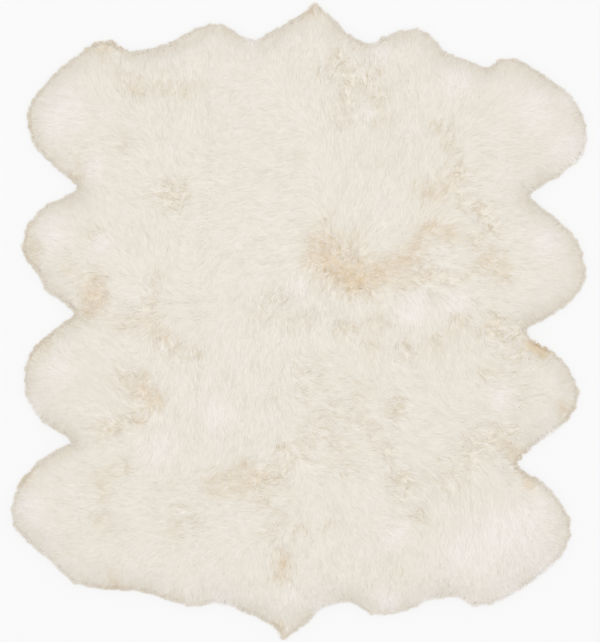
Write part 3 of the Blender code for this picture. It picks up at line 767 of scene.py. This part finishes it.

    # among the ruffled wool some are bent harder and lie on the others, and are drawn darker: a painted
    # shadow of the creases between its tufts
    few = add(MATH, (crisp, 1.6), operation="POWER")
    few = add(MATH, (few, 0.20), operation="MULTIPLY")
    turned = add(MATH, (roll_by, few), operation="LESS_THAN")

    # its length, which stops at the rug's edge, and its width, which narrows to the tip
    length = add("ShaderNodeMapRange", {"Value": long_by, "To Min": 0.7, "To Max": 1.2})
    tufted = {"Value": told["ruffled"], "From Max": 0.7, "To Min": 1.0, "To Max": 0.35}
    for factor in (add("ShaderNodeMapRange", tufted), given["Long"]):
        length = add(MATH, (length, factor), operation="MULTIPLY")
    stop = add(MATH, (short_by, 0.08, 0.85), operation="MULTIPLY_ADD")
    stop = add(MATH, (tuft_rise, 0.15, stop), operation="MULTIPLY_ADD")
    stop = add(MATH, (stop, room), operation="MULTIPLY")
    length = add(MATH, (length, stop), operation="MINIMUM")
    ahead = add(MATH, (length, along), operation="MULTIPLY")
    taper = add("ShaderNodeMapRange", {"Value": told["rim"], "To Min": 0.85, "To Max": 0.6})
    narrow = add(MATH, (along, 2.2), operation="POWER")
    narrow = add(MATH, (narrow, taper), operation="MULTIPLY")
    across = add(MATH, (1.0, narrow), operation="SUBTRACT")
    broad = add(MATH, (turned, -0.1, 1.0), operation="MULTIPLY_ADD")
    for factor in (given["Wide"], broad, strip_x):
        across = add(MATH, (across, factor), operation="MULTIPLY")
    for factor in (given["Roll"], unruly):
        roll = add(MATH, (roll, factor), operation="MULTIPLY")
    flat, lift = (add(MATH, (roll,), operation=part) for part in ("COSINE", "SINE"))
    flat = add(MATH, (flat, across), operation="MULTIPLY")
    lift = add(MATH, (lift, across), operation="MULTIPLY")

    # it bends to one side, waves, and leans in to the other staples of its tuft
    hooked = add(MATH, (turned, 2.0, 1.0), operation="MULTIPLY_ADD")
    for factor in (given["Bend"], hooked, ahead, along):
        bend = add(MATH, (bend, factor), operation="MULTIPLY")
    phase = add(MATH, (roll_by, 6.28), operation="MULTIPLY")
    wave = add(MATH, (along, 9.0, phase), operation="MULTIPLY_ADD")
    wave = add(MATH, (wave,), operation="SINE")
    wave = add(MATH, (wave, given["Crimp"], bend), operation="MULTIPLY_ADD")
    sideways = add(MATH, (wave, flat), operation="ADD")
    lean = add(VECTOR_MATH, (tuft["Position"], level), operation="SUBTRACT")
    lean = add(VECTOR_MATH, (lean, (1, 1, 0)), operation="MULTIPLY")
    pull = add(MATH, (unruly, given["Clump Pull"]), operation="MULTIPLY")
    pull = add(MATH, (told["rim"], 0.35, pull), operation="MULTIPLY_ADD")
    pull = add(MATH, (pull, along), operation="MULTIPLY")
    run = level
    for direction, distance in ((way, ahead), (side, sideways), (lean, pull)):
        part = add(VECTOR_MATH, {0: direction, "Scale": distance}, operation="SCALE")
        run = add(VECTOR_MATH, (run, part), operation="ADD")

    # its height: up out of the underwool and onto the lie of the wool, some tips standing proud
    surface = add("GeometryNodeObjectInfo", {"Object": given["Surface"]}, transform_space="ORIGINAL")
    above = add(VECTOR_MATH, (run, (0, 0, 0.5)), operation="ADD")
    sight = {"Target Geometry": surface.outputs["Geometry"], "Source Position": above, "Ray Length": 1.0}
    hit = add("GeometryNodeRaycast", {**sight, "Ray Direction": (0, 0, -1)}).outputs["Hit Position"]
    _, _, height = add("ShaderNodeSeparateXYZ", (hit,)).outputs
    left = add(MATH, (1.0, along), operation="SUBTRACT")
    left = add(MATH, (left, 1.7), operation="POWER")
    sunk = add(MATH, (left, told["deep"]), operation="MULTIPLY")
    height = add(MATH, (height, sunk), operation="SUBTRACT")
    proud = add(MATH, (loft_by, 0.6), operation="SUBTRACT")
    calm = add("ShaderNodeMapRange", {"Value": told["rim"], "To Min": 1.0, "To Max": 0.35})
    for factor in (calm, given["Loft"], unruly):
        proud = add(MATH, (proud, factor), operation="MULTIPLY")
    fly = add(MATH, (long_by, 0.97), operation="GREATER_THAN")
    fly = add(MATH, (fly, short_by), operation="MULTIPLY")
    rise = add(MATH, (tuft_rise, 0.6), operation="SUBTRACT")
    rise = add(MATH, (rise, told["ruffled"]), operation="MULTIPLY")
    for share, size in ((fly, "Flyaway"), (turned, "Turned Up"), (rise, "Tuft Loft")):
        proud = add(MATH, (share, given[size], proud), operation="MULTIPLY_ADD")
    height = add(MATH, (proud, along, height), operation="MULTIPLY_ADD")
    drop = add(MATH, (told["rim"], 2.0), operation="POWER")
    drop = add(MATH, (drop, short_by), operation="MULTIPLY")
    drop = add(MATH, (drop, -0.75, 1.0), operation="MULTIPLY_ADD")
    height = add(MATH, (height, drop, lift), operation="MULTIPLY_ADD")
    above_brim = add(MATH, (1.0, told["beneath"]), operation="SUBTRACT")
    cap = add("ShaderNodeMapRange", {"Value": bend_by, "To Min": 0.5})
    cap = add(MATH, (cap, given["Brim Height"], above_brim), operation="MULTIPLY_ADD")
    height = add(MATH, (height, cap), operation="MINIMUM")
    least = add("ShaderNodeMapRange", {"Value": turn, "To Min": 1.0, "To Max": 2.0})
    least = add(MATH, (least, given["Least Height"]), operation="MULTIPLY")
    height = add(MATH, (height, least), operation="MAXIMUM")
    stand = add("ShaderNodeCombineXYZ", {"Z": height})
    spot = add(VECTOR_MATH, (run, stand), operation="ADD")
    laid = add("GeometryNodeSetPosition", {"Geometry": real, "Position": spot})

    # its tone: darker as it nears the rug's edge, a painted shade where the wool turns down to the floor,
    # yellower where the wool falls apart, clouded
    ahead_of = add(MATH, (room, ahead), operation="SUBTRACT")
    # painted shade: nearer the rug's edge the tone is drawn to the darker end of the chart
    nearing = {"Value": ahead_of, "From Max": RIM_SHADE, "To Min": 1.0, "To Max": 0.0}
    nearing = add("ShaderNodeMapRange", nearing)
    nearing = add(MATH, (nearing, told["rim"]), operation="MAXIMUM")
    # painted shade at the rug's edge, deeper where the wool falls apart
    rim_shade_opened = add(MATH, (nearing, told["opened"]), operation="MULTIPLY")
    # bleached places and opened ones take less of the painted shade at the rug's edge
    plain = add(MATH, (told["bleached"], 0.6), operation="MULTIPLY")
    partly = add(MATH, (told["opened"], 2.0), operation="POWER")
    plain = add(MATH, (plain, partly), operation="MAXIMUM")
    plain = add(MATH, (1.0, plain), operation="SUBTRACT")
    nearing = add(MATH, (nearing, plain), operation="MULTIPLY")
    mixed = add(MATH, (crisp, 2.0, 1.0), operation="MULTIPLY_ADD")
    odd = add(MATH, (odd, mixed), operation="MULTIPLY")
    shade = add(MATH, (tuft_tone, 0.4), operation="SUBTRACT")
    shade = add(MATH, (shade, told["ruffled"]), operation="MULTIPLY")
    tone = 0.6
    for cause, much in ((told["opened"], 0.38), (nearing, -0.5), (cloud, 0.2), (odd, 0.12), (shade, 0.2)):
        tone = add(MATH, (cause, much, tone), operation="MULTIPLY_ADD")
    tone = add("ShaderNodeClamp", {"Value": tone, "Min": 0.02, "Max": 0.98})
    tone = add(MATH, (strip_x, 0.008, tone), operation="MULTIPLY_ADD")

    # and how near it is to its bleached tip: further where bleached and on a few ruffled staples (a
    # painted highlight), less at the rug's edge where the wool falls apart and on a few other ruffled
    # staples (a painted shadow of the creases)
    foot = add("ShaderNodeMapRange", {"Value": told["ruffled"], "To Min": 0.42, "To Max": 0.46})
    head = add("ShaderNodeMapRange", {"Value": told["bleached"], "To Min": 0.55, "To Max": 1.0})
    up = add("ShaderNodeMapRange", {"Value": along, "To Min": foot, "To Max": head})
    own = add(MATH, (short_by, 0.45), operation="SUBTRACT")
    varied = add("ShaderNodeMapRange", {"Value": nearing, "To Min": 0.08, "To Max": 0.36})
    # a few staples among the ruffled wool are drawn nearer their pale tip: a painted highlight on the
    # tufts' tips
    lit = add(MATH, (crisp, -0.14, 1.0), operation="MULTIPLY_ADD")
    lit = add(MATH, (roll_by, lit), operation="GREATER_THAN")
    # the few bent staples among the ruffled wool are drawn darker, a painted shadow of its creases
    for cause, much in ((turned, -0.45), (own, varied), (lock, 0.5), (rim_shade_opened, -0.6), (lit, 0.45)):
        up = add(MATH, (cause, much, up), operation="MULTIPLY_ADD")
    up = add("ShaderNodeClamp", {"Value": up})

    # the underwool takes the roots' end of the same chart
    fleece = add("ShaderNodeTexNoise", {"Vector": place, "Scale": 90.0, "Detail": 2.0})
    base = 0.3
    for cause, much in ((told["opened"], 0.5), (fleece, 0.2), (told["ruffled"], 0.3)):
        base = add(MATH, (cause, much, base), operation="MULTIPLY_ADD")
    base = add(MATH, (base, 0.98), operation="MINIMUM")
    fleece = add("ShaderNodeTexNoise", {"Vector": place, "Scale": 160.0, "Detail": 1.0})
    root_end = 0.4
    for cause, much in ((told["ruffled"], -0.12), (fleece, 0.1)):
        root_end = add(MATH, (cause, much, root_end), operation="MULTIPLY_ADD")

    # both are charted, tone across and root to tip along, and joined
    both = add("GeometryNodeJoinGeometry")
    for mesh, across_by, along_by in ((laid, tone, up), (given["Underwool"], base, root_end)):
        smooth = add("GeometryNodeSetShadeSmooth", {"Geometry": mesh})
        chart = add("ShaderNodeCombineXYZ", {"X": across_by, "Y": along_by})
        charted = add(
            "GeometryNodeStoreNamedAttribute",
            {"Geometry": smooth, "Name": "OFBake", "Value": chart},
            data_type="FLOAT2",
            domain="CORNER",
        )
        tree.links.new(charted.outputs[0], both.inputs[0])
    whole = add("GeometryNodeRealizeInstances", {"Geometry": both})
    painted = add("GeometryNodeSetMaterial", {"Geometry": whole, "Material": given["Wool"]})
    add("NodeGroupOutput", {"Pelt": painted})
    return tree


def make_wool():
    """Washed lambswool: matt and warm white, each fibre's scales giving a soft sheen at a slant. The
    tips are bleached lightest, the roots keep more of the yellow of the fleece's own grease."""
    material, tree, shader = new_material(
        "washed_lambswool",
        {
            "Roughness": 0.9,
            "IOR": 1.55,
            "Specular IOR Level": 0.3,
            "Sheen Weight": 0.25,
            "Sheen Roughness": 0.5,
        },
    )
    add = partial(new_node, tree)
    chart = add("ShaderNodeUVMap", uv_map="OFBake")
    tone, along, _ = add("ShaderNodeSeparateXYZ", (chart,)).outputs
    stops = (
        (0.0, "#E6DFD2"),  # darker at the rug's edge, a painted shade
        (0.3, "#E9E2D5"),
        (0.5, "#ECE6DC"),
        (0.62, "#EEE9DF"),  # clean
        (0.93, "#E3D4BC"),  # the fleece's depth, where the wool falls apart
        (1.0, "#DDC9A9"),
    )
    tips = add("ShaderNodeValToRGB", {"Fac": tone})
    for place, _ in stops[1:-1]:
        tips.color_ramp.elements.new(place)
    for element, (place, colour) in zip(tips.color_ramp.elements, stops):
        element.position = place
        element.color = linear(colour)
    rooted = {"Value": along, "From Min": 0.0, "From Max": 0.45, "To Min": 0.75, "To Max": 0.0}
    rooted = {"Factor": add("ShaderNodeMapRange", rooted), "A": tips, "B": linear("#D3C1A3")}
    colour = add("ShaderNodeMix", rooted, data_type="RGBA").outputs["Result"]
    tipped = add("ShaderNodeMapRange", {"Value": along, "From Min": 0.55, "From Max": 0.9})
    tipped = {"Factor": tipped, "A": colour, "B": linear("#F6F1ED")}
    colour = add("ShaderNodeMix", tipped, data_type="RGBA").outputs["Result"]
    fibres = add("ShaderNodeMapping", {"Vector": chart, "Scale": (1100.0, 9.0, 1.0)})
    fibres = add("ShaderNodeTexNoise", {"Vector": fibres, "Scale": 1.0, "Detail": 2.0})
    fine = {"Value": fibres, "From Min": 0.3, "From Max": 0.7, "To Min": 0.975, "To Max": 1.01}
    shaded = {"Factor": 1.0, "A": colour, "B": add("ShaderNodeMapRange", fine)}
    shaded = add("ShaderNodeMix", shaded, data_type="RGBA", blend_type="MULTIPLY")
    tree.links.new(shaded.outputs["Result"], shader.inputs["Base Color"])
    bump = add("ShaderNodeBump", {"Height": fibres, "Strength": 0.15, "Distance": 0.3 * MM})
    tree.links.new(bump.outputs["Normal"], shader.inputs["Normal"])
    return material


columns = len(xs)
lower_left = [r * columns + c for r in range(len(ys) - 1) for c in range(columns - 1)]
lie_places = np.column_stack([grid_places, tops.ravel()])
lie_faces = [(i, i + 1, i + 1 + columns, i + columns) for i in lower_left]
lie_surface = placed("lie_of_the_wool", new_mesh("lie_of_the_wool", lie_places, faces=lie_faces))
wall_places = [(x, y, z) for z in (-1.0, 1.0) for x, y in edge]
wall = new_mesh("edge_of_the_rug", wall_places, faces=ring_faces(len(edge)))
edge_wall = placed("edge_of_the_rug", wall)
lambswool = make_wool()
staples = wool_tree()
for number, node in enumerate(AROUND):
    pelt = grown(
        node.replace("pelt", "wool"),
        underwool(node),
        staples,
        {
            **GROWTH,
            "Surface": lie_surface,
            "Rug Edge": edge_wall,
            "Seed": 10 + number,
            "Wool": lambswool,
        },
    )
    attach(pelt, "root")
    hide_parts(node)
    skin = skins[node]
    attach(skin, "root")
    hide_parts(node)
bpy.data.objects.remove(lie_surface)
bpy.data.objects.remove(edge_wall)

# ---------------------------------------------------------------- floor, light and camera
# A plain studio floor under an even, soft white light, seen from straight above. Its paint gives off
# part of its own light, so that it reads as a lit white floor and keeps only a faint shadow.
VIEW_MIDDLE = (2.9 * MM, -0.1 * MM)
VIEW_LONG = 1844.5 * MM  # what the frame's long side takes in
LENS = 150.0
SENSOR = 36.0

half = 30.0
floor_corners = [(-half, -half, 0), (half, -half, 0), (half, half, 0), (-half, half, 0)]
floor = placed("studio_floor", new_mesh("studio_floor", floor_corners, faces=[(0, 1, 2, 3)]))
paint, _, _ = new_material(
    "matt_white_paint",
    {
        "Base Color": linear("#A0A0A0"),
        "Roughness": 0.9,
        "Emission Color": (1, 1, 1, 1),
        "Emission Strength": 0.56,
    },
)
floor.data.materials.append(paint)

world = bpy.data.worlds.new("soft_dome")
world.use_nodes = True
dome = world.node_tree.nodes["Background"].inputs
dome["Color"].default_value = (1, 1, 1, 1)
dome["Strength"].default_value = 0.83
bpy.context.scene.world = world
overhead = bpy.data.lights.new("overhead_softbox", "AREA")
overhead.shape = "RECTANGLE"
overhead.size = overhead.size_y = 4.0
overhead.energy = 58.0
lamp = placed("overhead_softbox", overhead)
lamp.location = (0.0, 0.2, 4.0)
lamp.rotation_euler = lamp.location.to_track_quat("Z", "Y").to_euler()

lens = bpy.data.cameras.new("overhead_camera")
lens.lens = LENS
lens.sensor_width = SENSOR
camera = placed("overhead_camera", lens)
camera.location = (*VIEW_MIDDLE, VIEW_LONG * LENS / SENSOR)
bpy.context.scene.camera = camera
bpy.context.scene.view_settings.view_transform = "Standard"
